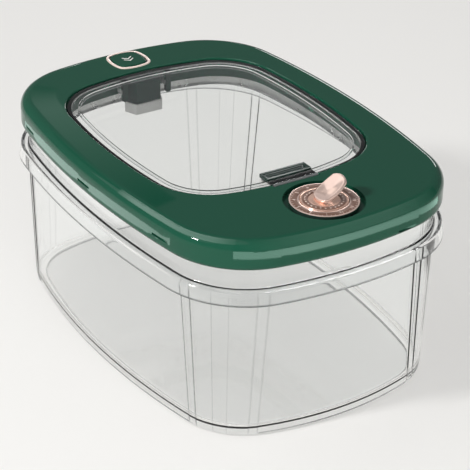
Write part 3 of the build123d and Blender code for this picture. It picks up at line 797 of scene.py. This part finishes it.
plate.thickness, plate.offset = paddle_thick / 1000, -1
rounding = thumb_paddle.modifiers.new("rounding", "SUBSURF")
rounding.levels = rounding.render_levels = 2
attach(thumb_paddle, "dial")
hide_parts("dial_lever")
print("paddle cage", len(thumb_paddle.data.polygons), "faces")

# %% Neck of the lever
neck_shares, neck_width, neck_round = (0.16, 0.36), 10.5, 0.0007
neck_gap, neck_sink, neck_lean = 0.3, 0.05, 0.6
neck_mesh = bmesh.new()
bmesh.ops.create_cube(neck_mesh, size=1)
for vert in neck_mesh.verts:
    share, above = neck_shares[vert.co.x > 0], vert.co.z > 0
    height, lean = (lever_lift(share) - neck_gap, 0.0) if above else (-neck_sink, neck_lean)
    vert.co = Vector((lever_root - lever_length * share + lean, dial_y + neck_width * vert.co.y,
                      disc_top + height)) / 1000
bmesh.ops.recalc_face_normals(neck_mesh, faces=neck_mesh.faces)
soften(neck_mesh, list(neck_mesh.edges), neck_round, fine_segments)
bmesh.ops.recalc_face_normals(neck_mesh, faces=neck_mesh.faces)
lever_neck = make_piece("lever_neck", neck_mesh, polished_gold)
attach(lever_neck, "dial")
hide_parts("dial_lever")
for piece in (thumb_paddle, lever_neck):
    lever_only.objects.link(piece)
print("neck faces", len(lever_neck.data.polygons))

# %% [markdown]
# ## Hinge block
# At the dial's end a small dark block sits on the cover. Its top is a shallow tray with a long slot, and a
# thin clear tongue joins it to the barrel that the cover turns on. The block is a cube: insetting the top
# and extruding it down makes the tray, doing so again makes the slot, and a bevel softens what is left.

# %% Dark block
block_low, block_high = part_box("hinge_block")
cover_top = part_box("flip_cover")[1].z
barrel_radius, bore_radius, tongue_length = 0.0022, 0.00125, 0.0085
tray, slot = (0.0018, 0.0008), (0.0024, 0.0012)  # inset and depth of each
block_round, rim_round, rim_segments, rim_depth, rim_turn = 0.0006, 0.00045, 2, 0.0009, 1.0
hinge_y = block_high.y - barrel_radius
block_near = hinge_y - tongue_length
block_half = block_high.x
block_size = Vector((2 * block_half, block_near - block_low.y, block_high.z - cover_top))
block_middle = Vector((0, (block_near + block_low.y) / 2, (block_high.z + cover_top) / 2))
block_mesh = bmesh.new()
bmesh.ops.create_cube(block_mesh, size=1, matrix=Matrix.Translation(block_middle)
                      @ Matrix.Diagonal((*block_size, 1)))
top = max(block_mesh.faces, key=lambda face: face.calc_center_median().z)
outer_edges = [edge for edge in block_mesh.edges if max(vert.co.z for vert in edge.verts) > block_middle.z]
for inset, sink in (tray, slot):
    bmesh.ops.inset_region(block_mesh, faces=[top], thickness=inset)
    sunk = bmesh.ops.extrude_face_region(block_mesh, geom=[top])["geom"]
    bmesh.ops.delete(block_mesh, geom=[top], context="FACES_ONLY")
    top = [item for item in sunk if isinstance(item, bmesh.types.BMFace)][0]
    bmesh.ops.translate(block_mesh, verts=top.verts, vec=(0, 0, -sink))
soften(block_mesh, outer_edges, block_round, fine_segments)
rims = [edge for edge in block_mesh.edges if edge.calc_face_angle(0) > rim_turn
        and min(vert.co.z for vert in edge.verts) > block_high.z - rim_depth]
soften(block_mesh, rims, rim_round, rim_segments)
bmesh.ops.remove_doubles(block_mesh, verts=block_mesh.verts, dist=same_place)
bmesh.ops.recalc_face_normals(block_mesh, faces=block_mesh.faces)
hinge_cap = make_piece("hinge_cap", block_mesh, dark_block_and_shade)
hinge_cap.data.set_sharp_from_angle(angle=sharp_angle)
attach(hinge_cap, "cover")
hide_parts("hinge_block")
edges_only.objects.link(hinge_cap)
print("hinge block", [round(1000 * side, 1) for side in block_size], "mm")

# %% Clear tongue and barrel
weld_radius, tongue_thick, barrel_steps = 0.0016, 0.0012, 32
tongue_end = hinge_y - weld_radius
tongue_mesh = bmesh.new()
tongue_size = Vector((2 * block_half, tongue_end - block_near, tongue_thick))
tongue_middle = Vector((0, (tongue_end + block_near) / 2, cover_top + tongue_thick / 2))
bmesh.ops.create_cube(tongue_mesh, size=1, matrix=Matrix.Translation(tongue_middle)
                      @ Matrix.Diagonal((*tongue_size, 1)))
corners = [(-block_half, bore_radius), (block_half, bore_radius), (block_half, barrel_radius),
           (-block_half, barrel_radius)]
verts = [tongue_mesh.verts.new((x, hinge_y, cover_top + radius)) for x, radius in corners]
loop = [tongue_mesh.edges.new((verts[k], verts[(k + 1) % 4])) for k in range(4)]
bmesh.ops.spin(tongue_mesh, geom=verts + loop, cent=(0, hinge_y, cover_top), axis=(1, 0, 0),
               angle=2 * math.pi, steps=barrel_steps, use_merge=True)
bmesh.ops.recalc_face_normals(tongue_mesh, faces=tongue_mesh.faces)
hinge_tongue = make_piece("hinge_tongue", tongue_mesh, clear_cover)
hinge_tongue.data.set_sharp_from_angle(angle=sharp_angle)
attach(hinge_tongue, "cover")
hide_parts("hinge_block")
print("barrel at", round(1000 * hinge_y, 1), round(1000 * cover_top, 1))

# %% [markdown]
# ## Ring round the button
# A plated ring frames the button, and a step inside it, dark with painted shade, draws a clear shadow line
# round the cap. The ring has the same kind of plan as the tub, four bowed sides and four round corners, only
# small. It is one skin: a ring of vertices, extruded along a small section and closed by bridging its two
# ends.

# %% Plated ring
ring_low, ring_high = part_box("button_ring")
ring_middle, ring_half = (ring_low + ring_high) / 2, 500 * (ring_high.x - ring_low.x)
ring_bow, ring_corner, painted_shade_depth, facing_out = 4.5, 8.5, 0.25, 1e-4
ring_plan = Plan(ring_half, ring_half, ring_bow, ring_bow, ring_corner)
ring_foot, ring_top = 1000 * ring_low.z, 1000 * ring_high.z
# Each row: inset and height, from the foot outside, over the rim and the step painted dark as shade, to the
# foot inside.
ring_section = [(0, ring_foot), (0, ring_top - 0.5), (0.15, ring_top - 0.15), (0.5, ring_top),
                (2.2, ring_top), (2.4, ring_top - 0.1), (2.5, ring_top - 0.3), (2.5, ring_top - 0.9),
                (3.75, ring_top - 0.9), (3.75, ring_foot)]
side_cells, corner_cells = 6, 10
button_runs = round_the_plan([k / side_cells for k in range(side_cells)]
                             + [1 + k / corner_cells for k in range(corner_cells)]
                             + [2 + k / side_cells for k in range(side_cells + 1)])
frame_mesh = bmesh.new()
frame_step = frame_mesh.verts.layers.int.new("step")
ring = bmesh.ops.create_circle(frame_mesh, segments=len(button_runs), radius=start_radius)["verts"]
for step, vert in enumerate(ring):
    vert[frame_step] = step
first_edges = rim_edges = list(frame_mesh.edges)
for row, (inset, height) in enumerate(ring_section):
    if row:
        made = bmesh.ops.extrude_edge_only(frame_mesh, edges=rim_edges)["geom"]
        ring = verts_of(made)
        rim_edges = [item for item in made if isinstance(item, bmesh.types.BMEdge)
                     and all(vert in ring for vert in item.verts)]
    for vert in ring:
        run, flip_x, flip_y = button_runs[vert[frame_step]]
        x, y = ring_plan.quarter(run, inset)
        vert.co = Vector((flip_x * x, 1000 * ring_middle.y + flip_y * y, height)) / 1000
bmesh.ops.bridge_loops(frame_mesh, edges=first_edges + rim_edges)
bmesh.ops.recalc_face_normals(frame_mesh, faces=frame_mesh.faces)
# Inner faces below the rim get the dark finish: painted shade in the gap round the cap.
for face in frame_mesh.faces:
    middle = face.calc_center_median()
    outward = face.normal.xy.dot(middle.xy - ring_middle.xy) > facing_out
    face.material_index = int(not outward and 1000 * middle.z < ring_top - painted_shade_depth)
button_frame = make_piece("button_frame", frame_mesh, pale_gold)
button_frame.data.materials.append(dark_block_and_shade)
button_frame.data.set_sharp_from_angle(angle=sharp_angle)
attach(button_frame, "lid")
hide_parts("button_ring")
print("button ring faces", len(button_frame.data.polygons))

# %% [markdown]
# ## Mark on the button
# A person finds the button by its ring and by a pale mark. A plain pair of chevrons that points at the
# cover says "open" without words. Each is a strip of two cells with its middle pulled forward, extruded
# just enough to be felt.

# %% Chevrons
cap_low, cap_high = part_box("button_cap")
cap_middle_y = (cap_low.y + cap_high.y) / 2
setbacks, arm_length, arm_width, point_reach = (-0.0034, 0.0006), 0.0046, 0.0013, 0.0034
mark_height, mark_sink = 0.0002, 0.00005
mark_mesh = bmesh.new()
for setback in setbacks:
    place = Matrix.Translation((0, cap_middle_y + setback, cap_high.z - mark_sink))
    made = bmesh.ops.create_grid(mark_mesh, x_segments=2, y_segments=1, size=0.5,
                                 matrix=place @ Matrix.Diagonal((2 * arm_length, arm_width, 1, 1)))["verts"]
    for vert in made:
        vert.co.y += point_reach * (1 - abs(vert.co.x) / arm_length)
raised = bmesh.ops.extrude_face_region(mark_mesh, geom=list(mark_mesh.faces))["geom"]
bmesh.ops.translate(mark_mesh, verts=verts_of(raised), vec=(0, 0, mark_height))
bmesh.ops.recalc_face_normals(mark_mesh, faces=mark_mesh.faces)
button_mark = make_piece("button_mark", mark_mesh, mark_white, smooth=False)
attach(button_mark, "button")
print("button mark at", round(1000 * cap_middle_y, 1))

# %% [markdown]
# ## Spring under the button
# The spring gets shorter as the button goes down. It is a small circle spun round the button's axis with a
# step upwards each time.

# %% Coil
spring_low, spring_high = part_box("button_spring")
wire, wire_sides, turns, steps_per_turn = 0.0004, 10, 5, 24
coil = (spring_high.x - spring_low.x) / 2 - wire
spring_y = (spring_low.y + spring_high.y) / 2
climb = spring_high.z - spring_low.z - 2 * wire
spring_mesh = bmesh.new()
bmesh.ops.create_circle(spring_mesh, segments=wire_sides, radius=wire, cap_ends=True,
                        matrix=Matrix.Translation((coil, spring_y, spring_low.z + wire))
                        @ Matrix.Rotation(math.pi / 2, 4, "X"))
bmesh.ops.spin(spring_mesh, geom=list(spring_mesh.faces), cent=(0, spring_y, 0), axis=(0, 0, 1),
               dvec=(0, 0, climb / (turns * steps_per_turn)), angle=turns * 2 * math.pi,
               steps=turns * steps_per_turn)
bmesh.ops.recalc_face_normals(spring_mesh, faces=spring_mesh.faces)
coil_spring = make_piece("coil_spring", spring_mesh, steel)
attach(coil_spring, "lid")
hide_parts("button_spring")
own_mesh(coil_spring)
print("coil", round(1000 * coil, 2), "mm, climbs", round(1000 * climb, 2), "mm")
